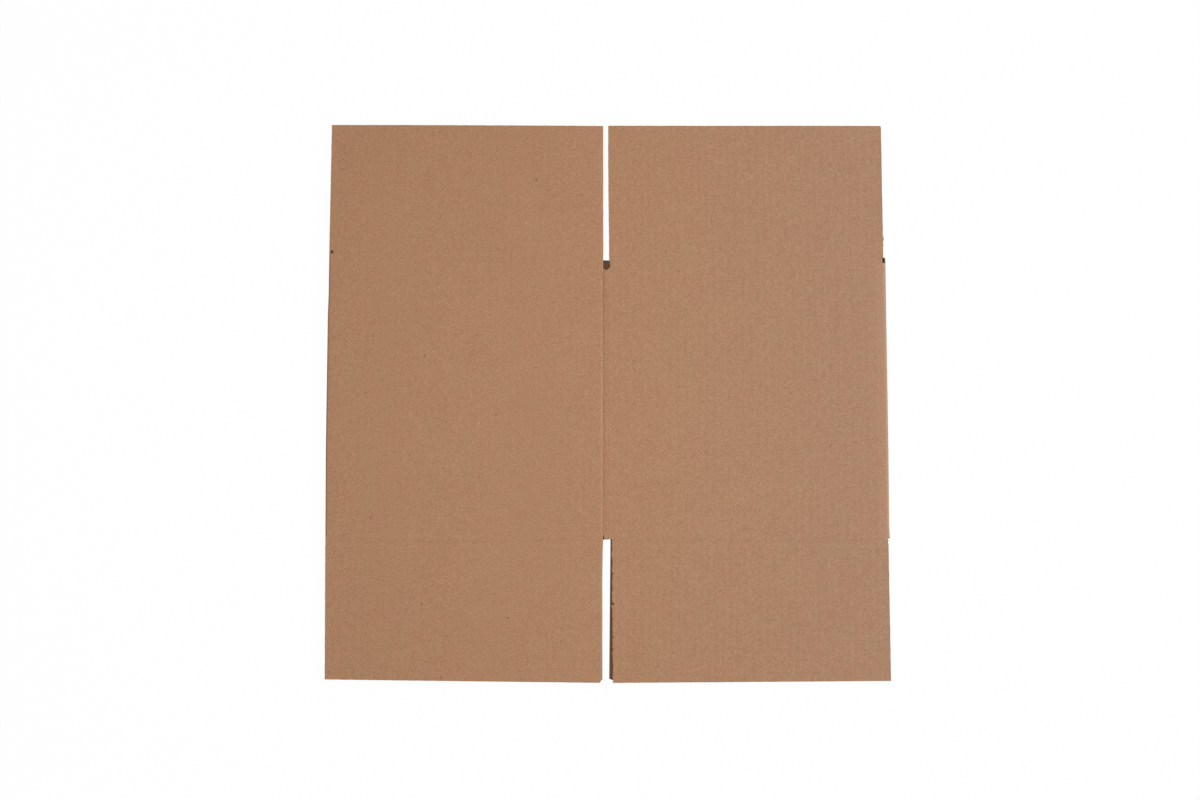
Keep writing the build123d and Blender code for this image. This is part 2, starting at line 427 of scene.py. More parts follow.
def slantSlot(sheet):
    # the columns beside the middle slot follow its slanted, slightly ragged edge
    side, flat, seam = sheet["side"], sheet["flat"], board["seamEdge"]
    sheet["edge"] = slotEdge(side, sheet["rows"]) + ragged["slot"][side](sheet["rows"])
    first = flat[sheet["slotColumn"]]
    fall = np.clip((slotReach - flat) / (slotReach - first), 0.0, 1.0)
    if side > 0:
        fall = np.where(flat < first, np.clip((flat + seam) / (first + seam), 0.0, 1.0), fall)
    sheet["x"][:, :len(flat)] += (sheet["edge"] - first)[:, None] * fall


def trimEnds(sheet):
    # flap ends, cut a little out of square
    side, x, y = sheet["side"], sheet["x"], sheet["y"]
    onBack = np.arange(x.shape[1]) > sheet["foldAt"] + bendSteps // 2
    setback = np.where(onBack, board["backSetback"], 0.0)
    for sign in (1, -1):
        trim = endTrim(side, sign, np.clip(x, 0.0, board["panelWidth"])) + setback
        y -= sign * endWeight(y, sign) * (trim + ragged["end"](x * side, sign))


def shapeTab(sheet):
    flat, rows = sheet["flat"], sheet["rows"]
    shift = np.zeros((len(rows), len(flat)))
    for end in ("top", "low"):
        start, stop = tab[end + "Fade"]
        pull = np.interp(rows, (start, tab[end], stop), (0.0, 1.0, 0.0))[:, None]
        shift += pull * (np.interp(flat, *tab[end + "Line"]) - tab[end])
    sheet["y"][:, :len(flat)] += shift


def raiseFront(sheet):
    # the front's height, with the lips on the same plane
    foldAt = sheet["foldAt"]
    level = np.zeros_like(sheet["x"], bool)
    level[:, :foldAt + 1] = True
    for j, rowY in enumerate(sheet["rows"]):
        level[j, foldAt + 1:foldAt + 1 + lipSteps] = frontIsCut(sheet["side"], rowY)
    sheet["z"] = np.where(level, panelHeight(sheet["side"], sheet["x"]), sheet["z"])


def keptCells(sheet):
    # which cells of the grid are there: slots, notches and the space past the tab are left out
    side, rows, foldAt, backAt = sheet["side"], sheet["rows"], sheet["foldAt"], sheet["backAt"]
    top, low = flaps[(side, 1)], flaps[(side, -1)]
    keep = np.ones((len(rows) - 1, sheet["x"].shape[1] - 1), bool)
    mid = (rows[:-1] + rows[1:]) / 2
    upper = np.where(mid > 0, mid < top["root"], -mid < low["root"])
    lower = np.where(mid > 0, mid < top["root"] + top["backStep"], -mid < low["root"] + low["backStep"])
    half = foldAt + bendSteps // 2
    keep[:, foldAt + lipSteps:half] &= upper[:, None]
    keep[:, half:backAt - lipSteps] &= lower[:, None]
    notchRows = ((mid > top["root"]) & (mid < top["root"] + top["notch"][0]))[:, None]
    notchColumn = int(np.abs(sheet["flat"] - top["notch"][1]).argmin())
    if side > 0:
        keep[:, notchColumn:half] &= ~notchRows
        keep[:, :sheet["slotColumn"]] &= ((mid < tab["top"]) & (mid > tab["low"]))[:, None]
    else:
        keep[:, foldAt + 1:half] |= notchRows
        keep[:, notchColumn:foldAt + 1] &= ~notchRows
    return keep


def wearCorners(sheet):
    x, y, flat, foldAt = sheet["x"], sheet["y"], sheet["flat"], sheet["foldAt"]
    if sheet["side"] > 0:
        x[-1, foldAt + lipSteps] -= wear["rightIn"]
        y[-1, foldAt + 1:foldAt + 1 + lipSteps] -= wear["rightDown"]
        y[-1, sheet["backAt"] - lipSteps] -= wear["rightBackDown"]
    else:
        y[0, :foldAt + 1] += wear["leftRise"] * np.clip(1 - (flat - flat[0]) / wear["leftReach"], 0.0, 1.0)
        y[1, :foldAt + 1] = np.maximum(y[1, :foldAt + 1], y[0, :foldAt + 1] + wear["leftGap"])


def sideSheet(side, step, bands):
    sheet = foldedStrip(side, step, bands)
    cutLips(sheet)
    slantSlot(sheet)
    trimEnds(sheet)
    if side > 0:
        shapeTab(sheet)
    raiseFront(sheet)
    sheet["keep"] = keptCells(sheet)
    wearCorners(sheet)
    front = np.zeros_like(sheet["x"])
    front[:, :sheet["foldAt"] + 1 + lipSteps] = 1.0
    sheet.update(x=sheet["x"] * side, nx=sheet["nx"] * side, front=front)
    return sheet


def foldRoll(side, across, y):
    # how far the crushed board sinks as it nears a fold, between the slot roots
    depth, reach = relief["roll"][side]
    past = [smooth((sign * y - flaps[(side, sign)]["root"]) / relief["rollFade"]) for sign in (1, -1)]
    return depth * (1 - np.maximum(*past)) * np.exp(-np.clip(board["foldX"] - across, 0, None) / reach)


def scoreRelief(rows):
    # the groove of each flap score, with a low ridge on both sides
    total = 0.0
    for sign in (-1, 1):
        away = rows - sign * board["halfBody"]
        total = total - relief["scoreGroove"] * np.exp(-(away / relief["scoreWidth"]) ** 2)
        for offset in (-relief["ridgeOffset"], relief["ridgeOffset"]):
            total = total + relief["scoreRidge"] * np.exp(-((away + offset) / relief["ridgeWidth"]) ** 2)
    return total


def seamFootRelief(sheet, rows):
    # the tab's score beside the seam, and the dip at the foot of the raw edge
    near = sheet["x"] - relief["tabScoreAt"]
    place, width = relief["tabRidge"]
    share, grooveWidth = relief["tabGroove"]
    ridge = np.exp(-((near - place) / width) ** 2)
    tabScore = relief["tabScore"] * (ridge - share * np.exp(-(near / grooveWidth) ** 2))
    low, high, fade = relief["seamRun"][0], relief["seamRun"][-1], relief["seamFade"]
    inBody = smooth((high - rows) / fade) * smooth((rows - low) / fade)
    depth, reach = relief["seamFoot"]
    depth = depth * np.interp(rows, relief["seamRun"], relief["footShare"])
    foot = -depth * np.exp(-np.clip(sheet["x"] + board["seamEdge"], 0, None) / reach)
    return (tabScore + foot) * inBody


def rawEdgeRelief(sheet, rows):
    # the left panel's raw edge is pressed down on the tab
    depth, reach = relief["rawEdge"]
    depth = depth * np.interp(rows, relief["seamRun"], relief["edgeShare"])
    return -depth * np.exp(-np.clip(np.abs(sheet["x"]) - sheet["edge"][:, None], 0, None) / reach)


def outerRelief(sheet):
    # offset along the normal, in mm, never above the CAD surface by more than the score ridges
    side, foldAt, backAt = sheet["side"], sheet["foldAt"], sheet["backAt"]
    across, rows = np.abs(sheet["x"]), sheet["rows"][:, None]
    offset = np.zeros_like(across)
    panel, bend = slice(0, foldAt + 1), slice(foldAt + 1, backAt)
    flute = 0.5 - 0.5 * np.cos(2 * math.pi * across / board["pitch"])
    roll = foldRoll(side, across, rows)
    seam = seamFootRelief(sheet, rows) if side > 0 else rawEdgeRelief(sheet, rows)
    offset[:, panel] += (seam - relief["washboard"][side] * flute - roll)[:, panel]
    offset[:, bend] -= roll[:, bend] * np.clip(np.sin(sheet["angles"][1:-1]), 0, 1)
    offset[:, :foldAt + 1 + lipSteps] += scoreRelief(rows)
    return offset


def sheetPoints(sheet, offset):
    x = sheet["x"] + sheet["nx"] * offset
    z = sheet["z"] + sheet["nz"] * offset
    z = np.minimum(z + sheet["front"] * frontLift(sheet["x"], sheet["y"]), board["seamTop"])
    return np.stack([x, sheet["y"], z], 2)


def sheetMesh(name, sheet, outerOffset, innerOffset):
    outer, inner, keep = sheetPoints(sheet, outerOffset), sheetPoints(sheet, innerOffset), sheet["keep"]
    if sheet["side"] < 0:
        outer, inner, keep = outer[:, ::-1], inner[:, ::-1], keep[:, ::-1]
    return slabMesh(name, outer, inner, keep)


# The back layer's middle slots: their edges, roots, lines along y and the rows near the ends and scores
backSlot = {
    "right": 2.6, "middle": -0.9, "left": -4.62, "top": 127.53, "low": -125.6, "columnsOver": 238.0,
    "rightLine": ((-257.25, -126.75, -100.0), (1.62, 2.86, 2.6)),
    "leftLine": ((-257.25, -215.0, -140.0), (-4.4, -4.4, -4.62)),
    "endRows": (-252.25, -250.4, -247.6, 250.4, 252.25), "scoreRows": (-3.0, -1.5, 1.5, 3.0),
    "lowLift": (0.55, 0.3), "cornerLift": 1.2,
}


def backSheet(step, bands):
    # the back layer between the folds' strips, with its middle slot at each end
    slotRight, slotLeft, far = backSlot["right"], backSlot["left"], board["backStrip"][-1]
    marks = [*backSlot["endRows"], backSlot["low"], backSlot["top"]]
    marks += [sign * (board["halfBody"] + d) for sign in (-1, 1) for d in backSlot["scoreRows"]]
    rows = mergedRows(marks, bands)
    slotAt = round(backSlot["columnsOver"] / (board["pitch"] / step))
    right, left = np.linspace(far, slotRight, slotAt + 1), np.linspace(slotLeft, -far, slotAt + 1)
    flat = np.concatenate([right, [backSlot["middle"]], left])
    x = np.repeat(flat[None, :], len(rows), 0)
    rightEdge = np.where(rows > 0, slotRight, np.interp(rows, *backSlot["rightLine"]))
    leftEdge = np.interp(rows, *backSlot["leftLine"])
    for edge, first, beside in ((rightEdge, slotRight, flat > 0), (leftEdge, slotLeft, flat <= slotLeft)):
        fall = np.clip((slotReach - np.abs(flat)) / (slotReach - abs(first)), 0.0, 1.0)
        x += (edge - first)[:, None] * np.where(beside, fall, 0.0)
    y = np.repeat(rows[:, None], len(flat), 1)
    for sign in (1, -1):
        trim = np.where(x > 0, endTrim(1, sign, x), endTrim(-1, sign, -x)) + board["backSetback"]
        if sign < 0:
            trim += slotSetback(x)
        y -= sign * endWeight(y, sign) * trim
    mid = (rows[:-1] + rows[1:]) / 2
    keep = np.ones((len(rows) - 1, len(flat) - 1), bool)
    keep[(mid > backSlot["top"]) | (mid < backSlot["low"]), slotAt:slotAt + 2] = False
    y[np.abs(rows - backSlot["low"]).argmin(), slotAt:slotAt + 2] += backSlot["lowLift"]
    y[0, slotAt] += backSlot["cornerLift"]
    return {"x": x, "y": y, "z": np.zeros_like(x), "nx": np.zeros_like(x), "nz": -np.ones_like(x),
            "front": np.zeros_like(x), "keep": keep, "side": 1}


sharpFrom = math.radians(40)


def addObject(name, mesh, *materials):
    item = bpy.data.objects.new(name, mesh)
    bpy.context.scene.collection.objects.link(item)
    for material in materials:
        mesh.materials.append(material)
    for polygon in mesh.polygons:
        polygon.use_smooth = True
    mesh.set_sharp_from_angle(angle=sharpFrom)
    mesh.validate()
    return item


def settle(piece):
    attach(piece, "root")
    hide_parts(blankNode)


# Node helpers
def addNode(tree, kind, inputs=None, **settings):
    node = tree.nodes.new(kind)
    for key, value in settings.items():
        setattr(node, key, value)
    for key, value in (inputs or {}).items():
        if isinstance(value, bpy.types.NodeSocket):
            tree.links.new(value, node.inputs[key])
        else:
            node.inputs[key].default_value = value
    return node


def calc(tree, operation, a, b=0.0, c=0.0):
    return addNode(tree, "ShaderNodeMath", {0: a, 1: b, 2: c}, operation=operation).outputs[0]


def newGroup(name, kind, inputs, outputs):
    tree = bpy.data.node_groups.new(name, kind)
    for label, socketType, value in inputs:
        socket = tree.interface.new_socket(label, in_out="INPUT", socket_type=socketType)
        if value is not None:
            socket.default_value = value
    for label, socketType in outputs:
        tree.interface.new_socket(label, in_out="OUTPUT", socket_type=socketType)
    return tree, addNode(tree, "NodeGroupInput"), addNode(tree, "NodeGroupOutput")


def floats(**values):
    # float inputs of a group, with their defaults
    return [(label.replace("_", " "), "NodeSocketFloat", value) for label, value in values.items()]


def mixColour(tree, factor, a, b, blend="MIX"):
    return addNode(tree, "ShaderNodeMix", {0: factor, 6: a, 7: b}, data_type="RGBA", blend_type=blend).outputs[2]


def rgb(r, g, b):
    return (r, g, b, 1.0)


def paperCloudGroup():
    # the uneven look of pulp held to the light: broad clouds, small flocs and a slow drift of hue
    tree, given, out = newGroup("paperCloud", "ShaderNodeTree", [
        ("Vector", "NodeSocketVector", None), *floats(Cloud_Scale=24.0, Floc_Scale=170.0, Hue_Scale=70.0)],
        [("Cloud", "NodeSocketFloat"), ("Floc", "NodeSocketFloat"), ("Hue", "NodeSocketFloat")])
    for label, detail in (("Cloud", 3.0), ("Floc", 2.0), ("Hue", 2.0)):
        noise = addNode(tree, "ShaderNodeTexNoise", {
            "Vector": given.outputs["Vector"], "Scale": given.outputs[label + " Scale"], "Detail": detail,
            "Roughness": 0.55})
        tree.links.new(noise.outputs["Fac"], out.inputs[label])
    return tree


# Fibres: the turn and shift of two layers of them, and their share of the paper's height beside the grain's
fibreLay = {"layers": ((0.18, 0.0), (-0.3, 3.7)), "distortion": 0.3, "fibreHeight": 0.6, "grainHeight": 0.4}


def fibreGrainGroup():
    # fine grain, and pulp fibres that lie mostly along the machine direction
    tree, given, out = newGroup("fibreGrain", "ShaderNodeTree", [
        ("Vector", "NodeSocketVector", None), *floats(Grain_Scale=620.0, Fibre_Scale=2000.0, Fibre_Stretch=0.16)],
        [("Grain", "NodeSocketFloat"), ("Fibre", "NodeSocketFloat"), ("Height", "NodeSocketFloat")])
    read = given.outputs
    grain = addNode(tree, "ShaderNodeTexNoise", {
        "Vector": read["Vector"], "Scale": read["Grain Scale"], "Detail": 3.0, "Roughness": 0.6}).outputs["Fac"]
    stretch = addNode(tree, "ShaderNodeCombineXYZ", {0: read["Fibre Stretch"], 1: 1.0, 2: 1.0})
    fibres = []
    for turn, shift in fibreLay["layers"]:
        turned = addNode(tree, "ShaderNodeMapping", {
            "Vector": read["Vector"], "Location": (shift, shift, shift), "Rotation": (0.0, 0.0, turn)})
        scaled = addNode(tree, "ShaderNodeVectorMath", {0: turned.outputs[0], 1: stretch.outputs[0]},
                         operation="MULTIPLY")
        noise = addNode(tree, "ShaderNodeTexNoise", {
            "Vector": scaled.outputs[0], "Scale": read["Fibre Scale"], "Detail": 2.0,
            "Distortion": fibreLay["distortion"]})
        fibres.append(noise.outputs["Fac"])
    fibre = calc(tree, "MAXIMUM", fibres[0], fibres[1])
    grainHeight = calc(tree, "MULTIPLY", grain, fibreLay["grainHeight"])
    height = calc(tree, "MULTIPLY_ADD", fibre, fibreLay["fibreHeight"], grainHeight)
    for label, value in (("Grain", grain), ("Fibre", fibre), ("Height", height)):
        tree.links.new(value, out.inputs[label])
    return tree


# Specks: least size and spread of sizes, how much of each is its core, least strength and spread of strengths
speckRange = {"size": (0.5, 1.2), "core": 0.45, "strength": (0.3, 0.7)}


def pulpSpecksGroup():
    # shives and flecks: a few cells of a scatter hold a small spot
    tree, given, out = newGroup("pulpSpecks", "ShaderNodeTree", [
        ("Vector", "NodeSocketVector", None), *floats(Cell_Scale=190.0, Share=0.06, Size=0.09, Shift=0.0)],
        [("Mask", "NodeSocketFloat")])
    read = given.outputs
    moved = addNode(tree, "ShaderNodeVectorMath", {0: read["Vector"], 1: read["Shift"]}, operation="ADD")
    cells = addNode(tree, "ShaderNodeTexVoronoi", {"Vector": moved.outputs[0], "Scale": read["Cell Scale"]},
                    feature="F1")
    chance = addNode(tree, "ShaderNodeSeparateColor", {0: cells.outputs["Color"]}).outputs
    chosen = calc(tree, "LESS_THAN", chance[0], read["Share"])
    least, spread = speckRange["size"]
    size = calc(tree, "MULTIPLY", read["Size"], calc(tree, "MULTIPLY_ADD", chance[1], spread, least))
    spot = addNode(tree, "ShaderNodeMapRange", {
        "Value": cells.outputs["Distance"], "From Min": size,
        "From Max": calc(tree, "MULTIPLY", size, speckRange["core"]), "To Min": 0.0, "To Max": 1.0})
    least, spread = speckRange["strength"]
    strength = calc(tree, "MULTIPLY_ADD", chance[2], spread, least)
    mask = calc(tree, "MULTIPLY", calc(tree, "MULTIPLY", spot.outputs[0], chosen), strength)
    tree.links.new(mask, out.inputs["Mask"])
    return tree


paperGroups = {"cloud": paperCloudGroup(), "fibre": fibreGrainGroup(), "specks": pulpSpecksGroup()}


def kraftMaterial(name, look):
    material = bpy.data.materials.new(name)
    material.use_nodes = True
    tree = material.node_tree
    shader = tree.nodes["Principled BSDF"]
    place = addNode(tree, "ShaderNodeTexCoord").outputs["Object"]

    def useGroup(key, **values):
        node = addNode(tree, "ShaderNodeGroup", node_tree=paperGroups[key])
        tree.links.new(place, node.inputs["Vector"])
        for label, value in values.items():
            node.inputs[label.replace("_", " ")].default_value = value
        return node.outputs

    cloud = useGroup("cloud", Cloud_Scale=look["cloudScale"], Floc_Scale=look["flocScale"])
    fibre = useGroup("fibre", Grain_Scale=look["grainScale"], Fibre_Scale=look["fibreScale"])
    dark = useGroup("specks", Cell_Scale=look["speckScale"], Share=look["darkShare"], Size=look["speckSize"])
    light = useGroup("specks", Cell_Scale=look["speckScale"] * look["fleckSpread"], Share=look["lightShare"],
                     Size=look["speckSize"] * look["fleckSize"], Shift=look["fleckShift"])
    # tone: how far from the dark to the light sheet colour each spot lies
    tone = 0.5
    for output, weight, middle in (
            (cloud["Cloud"], look["cloud"], 0.5), (cloud["Floc"], look["floc"], 0.5),
            (fibre["Grain"], look["grain"], 0.5), (fibre["Fibre"], look["fibre"], look["fibreMiddle"])):
        tone = calc(tree, "MULTIPLY_ADD", calc(tree, "SUBTRACT", output, middle), weight, tone)
    sheet = mixColour(tree, tone, rgb(*look["darkTone"]), rgb(*look["lightTone"]))
    middleTone = [(a + b) / 2 for a, b in zip(look["darkTone"], look["lightTone"])]
    for sign, tint in ((1.0, look["pink"]), (-1.0, look["olive"])):
        hue = calc(tree, "MULTIPLY", calc(tree, "SUBTRACT", cloud["Hue"], 0.5), sign * look["hue"])
        sheet = mixColour(tree, hue, sheet, rgb(*[c * k for c, k in zip(middleTone, tint)]))
    # painted sheen: the sheet colour is multiplied towards a cooler, bluer tint from x = 0 out over the right panel,
    # standing in for the cool sheen of the key light from the right
    across = addNode(tree, "ShaderNodeSeparateXYZ", {0: place}).outputs[0]
    paintedSheen = addNode(tree, "ShaderNodeMapRange", {
        "Value": across, "From Min": 0.0, "From Max": look["paintedSheenRun"], "To Min": 0.0, "To Max": 1.0})
    sheet = mixColour(tree, paintedSheen.outputs[0], sheet, rgb(*look["paintedSheen"]), "MULTIPLY")
    for specks, strength, colour in ((dark, look["darkStrength"], look["shive"]),
                                     (light, look["lightStrength"], look["fleck"])):
        sheet = mixColour(tree, calc(tree, "MULTIPLY", specks["Mask"], strength), sheet, rgb(*colour))
    tree.links.new(sheet, shader.inputs["Base Color"])
    rough = addNode(tree, "ShaderNodeMapRange", {
        "Value": fibre["Height"], "From Min": look["heights"][0], "From Max": look["heights"][1],
        "To Min": look["roughness"][0], "To Max": look["roughness"][1]})
    tree.links.new(rough.outputs[0], shader.inputs["Roughness"])
    bump = addNode(tree, "ShaderNodeBump", {
        "Height": fibre["Height"], "Strength": look["bump"], "Distance": look["bumpDepth"]})
    tree.links.new(bump.outputs[0], shader.inputs["Normal"])
    shader.inputs["Specular IOR Level"].default_value = look["specular"]
    material.diffuse_color = rgb(*look["lightTone"])
    return material


# Papers: the outer liner's look, and what differs in the others
outerLook = {
    "darkTone": (0.355, 0.180, 0.091), "lightTone": (0.510, 0.270, 0.146),
    "shive": (0.150, 0.070, 0.036), "fleck": (0.640, 0.430, 0.290),
    "cloudScale": 22.0, "flocScale": 150.0, "grainScale": 640.0, "fibreScale": 2000.0,
    "cloud": 0.17, "floc": 0.3, "grain": 2.1, "fibre": 1.3, "fibreMiddle": 0.56, "hue": 1.0,
    # the last two entries of the next line set the painted sheen: its cool tint and how far along x it grows
    "pink": (1.05, 0.88, 0.97), "olive": (0.95, 1.12, 1.03), "paintedSheen": (0.95, 1.006, 1.108), "paintedSheenRun": 0.25,
    "speckScale": 170.0, "speckSize": 0.15, "darkShare": 0.065, "lightShare": 0.045,
    "darkStrength": 0.9, "lightStrength": 0.7, "fleckSpread": 1.13, "fleckSize": 0.85, "fleckShift": 5.3,
    "heights": (0.3, 0.7), "roughness": (0.56, 0.66), "bump": 0.25, "bumpDepth": 0.00006, "specular": 0.3,
}
# painted shade: the inner liner's tones are darker than the outer liner's, partly a greyer inner paper and partly shade
# painted into the gaps at the slots where it shows
innerLookPaintedShade = dict(outerLook, darkTone=(0.232, 0.122, 0.066), lightTone=(0.342, 0.188, 0.106),
                 cloud=0.5, roughness=(0.7, 0.85), specular=0.3)
flutingLook = dict(outerLook, darkTone=(0.225, 0.130, 0.078), lightTone=(0.350, 0.212, 0.130),
                   fibre=0.8, darkShare=0.12, roughness=(0.75, 0.9), specular=0.25, bump=0.4)
edgeLook = dict(outerLook, darkTone=(0.320, 0.180, 0.105), lightTone=(0.520, 0.320, 0.200),
                grainScale=1500.0, grain=1.6, roughness=(0.8, 0.95), specular=0.2, bump=0.6)
fibreLook = dict(edgeLook, darkTone=(0.400, 0.245, 0.150), lightTone=(0.580, 0.390, 0.260))
outerKraft = kraftMaterial("kraftOuterLiner", outerLook)
innerKraftPaintedShade = kraftMaterial("kraftInnerLinerPaintedShade", innerLookPaintedShade)
flutingKraft = kraftMaterial("kraftFluting", flutingLook)
edgeKraft = kraftMaterial("kraftCutEdge", edgeLook)
fibreKraft = kraftMaterial("tornFibre", fibreLook)
print("materials made: 5")

# Liners: columns to a flute, and the spacing of rows in bands out from the middle, as (reach, spacing)
grids = {
    "outer": (4, ((112.0, 5.2), (1000.0, 2.6))),
    "inner": (1, ((112.0, 22.0), (1000.0, 8.0))),
    "back": (2, ((112.0, 22.0), (1000.0, 10.0))),
}


def addLiner(layer, label, sheet, offset):
    # an outer liner goes down from its offset, an inner one lies at the far face of the board
    if layer == "inner":
        offset = offset - board["thickness"] + board["liner"]
    name = layer + "Liner" + label
    facing = {"outer": outerKraft, "inner": innerKraftPaintedShade}[layer]
    settle(addObject(name, sheetMesh(name, sheet, offset, offset - board["liner"]), facing, edgeKraft))


for side, label in ((1, "Right"), (-1, "Left")):
    sheet = sideSheet(side, *grids["outer"])
    addLiner("outer", label, sheet, outerRelief(sheet))
    sheet = sideSheet(side, *grids["inner"])
    addLiner("inner", label, sheet, np.zeros_like(sheet["x"]))
sheet = backSheet(*grids["back"])
for layer in ("outer", "inner"):
    addLiner(layer, "Back", sheet, np.zeros_like(sheet["x"]))
print("liners made: 6")

# Fluting: one wave tree, run once for each straight stretch of board
flutingSizes = {
    "segments": 14, "backRows": 2, "frontRows": 24, "lean": 0.22, "seed": 4, "recess": 0.12, "weld": 0.000002,
    # start x, end x, layer, and low and high ends where these aren't the flaps' ends
    "stretches": (
        (-249.4, -4.9, "back", None), (3.4, 249.4, "back", None), (-4.9, 3.4, "back", (-124.5, 126.4)),
        (5.7, 249.4, "front", None), (-33.6, 5.7, "front", (-113.0, 107.0)), (-249.4, -6.9, "climb", None)),
}


def fluteTree():
    tree, given, out = newGroup("flutedMedium", "GeometryNodeTree", [
        ("Geometry", "NodeSocketGeometry", None), ("Flutes", "NodeSocketInt", 10), ("Segments", "NodeSocketInt", 14),
        ("Rows", "NodeSocketInt", 2),
        *floats(Pitch=0.00655, Wave_Height=0.002, Paper=0.0003, Start_X=0.0, Middle_Z=0.0, Low_Start_Y=0.0,
                Low_End_Y=0.0, High_Start_Y=0.0, High_End_Y=0.0, Lean=0.0),
        ("Seed", "NodeSocketInt", 0), ("Material", "NodeSocketMaterial", None)], [("Geometry", "NodeSocketGeometry")])
    tree.is_modifier = True
    read = given.outputs
    across = calc(tree, "ADD", calc(tree, "MULTIPLY", read["Flutes"], read["Segments"]), 1.0)
    grid = addNode(tree, "GeometryNodeMeshGrid", {
        "Size X": 1.0, "Size Y": 1.0, "Vertices X": across, "Vertices Y": read["Rows"]})
    place = addNode(tree, "ShaderNodeSeparateXYZ", {0: addNode(tree, "GeometryNodeInputPosition").outputs[0]})
    u = calc(tree, "ADD", place.outputs[0], 0.5)
    v = calc(tree, "ADD", place.outputs[1], 0.5)
    turns = calc(tree, "MULTIPLY", u, read["Flutes"])
    wave = calc(tree, "COSINE", calc(tree, "MULTIPLY", turns, 2 * math.pi))
    # crest and trough of each flute lean by a little of their own
    halfTurn = calc(tree, "ROUND", calc(tree, "MULTIPLY", turns, 2.0))
    number = addNode(tree, "FunctionNodeFloatToInt", {0: halfTurn}).outputs[0]
    chance = addNode(tree, "FunctionNodeRandomValue", {2: -1.0, 3: 1.0, "ID": number, "Seed": read["Seed"]},
                     data_type="FLOAT")
    lean = calc(tree, "MULTIPLY", calc(tree, "MULTIPLY", chance.outputs[1], read["Lean"]),
                calc(tree, "POWER", calc(tree, "ABSOLUTE", wave), 2.0))
    x = calc(tree, "ADD", calc(tree, "MULTIPLY_ADD", turns, read["Pitch"], read["Start X"]), lean)

    def between(low, high, factor):
        return calc(tree, "MULTIPLY_ADD", calc(tree, "SUBTRACT", high, low), factor, low)

    lowY = between(read["Low Start Y"], read["Low End Y"], u)
    y = between(lowY, between(read["High Start Y"], read["High End Y"], u), v)
    swing = calc(tree, "MULTIPLY", wave, calc(tree, "MULTIPLY", read["Wave Height"], 0.5))
    z = calc(tree, "SUBTRACT", calc(tree, "ADD", read["Middle Z"], swing), calc(tree, "MULTIPLY", read["Paper"], 0.5))
    position = addNode(tree, "ShaderNodeCombineXYZ", {0: x, 1: y, 2: z}).outputs[0]
    moved = addNode(tree, "GeometryNodeSetPosition", {"Geometry": grid.outputs["Mesh"], "Position": position})
    thick = addNode(tree, "GeometryNodeExtrudeMesh", {
        "Mesh": moved.outputs[0], "Offset Scale": read["Paper"], "Individual": False})
    under = addNode(tree, "GeometryNodeFlipFaces", {"Mesh": moved.outputs[0]})
    joined = addNode(tree, "GeometryNodeJoinGeometry")
    tree.links.new(thick.outputs["Mesh"], joined.inputs[0])
    tree.links.new(under.outputs[0], joined.inputs[0])
    closed = addNode(tree, "GeometryNodeMergeByDistance", {
        "Geometry": joined.outputs[0], "Distance": flutingSizes["weld"]})
    finishTree(tree, closed.outputs[0], read["Material"], out)
    return tree


def finishTree(tree, geometry, material, out):
    real = addNode(tree, "GeometryNodeRealizeInstances", {"Geometry": geometry})
    painted = addNode(tree, "GeometryNodeSetMaterial", {"Geometry": real.outputs[0], "Material": material})
    tree.links.new(painted.outputs[0], out.inputs[0])


def meshFromTree(name, tree, base, values):
    # run a tree on a helper object and return what it makes as a plain mesh
    helper = bpy.data.objects.new(name, base)
    bpy.context.scene.collection.objects.link(helper)
    modifier = helper.modifiers.new("make", "NODES")
    modifier.node_group = tree
    for socket in tree.interface.items_tree:
        if socket.in_out == "INPUT" and socket.name in values:
            modifier[socket.identifier] = values[socket.name]
    graph = bpy.context.evaluated_depsgraph_get()
    made = bpy.data.meshes.new_from_object(helper.evaluated_get(graph))
    helper.modifiers.remove(modifier)
    bpy.data.objects.remove(helper)
    return made


def meshPoints(mesh):
    points = np.zeros(len(mesh.vertices) * 3)
    mesh.vertices.foreach_get("co", points)
    return points.reshape(-1, 3)


def flapEnd(side, sign, x, back):
    # where the fluting of a flap ends
    trim = endTrim(side, sign, abs(x)) + (board["backSetback"] if back else 0.0)
    if back and sign < 0:
        trim += slotSetback(x)
    return sign * (board["halfHeight"] - trim - flutingSizes["recess"])


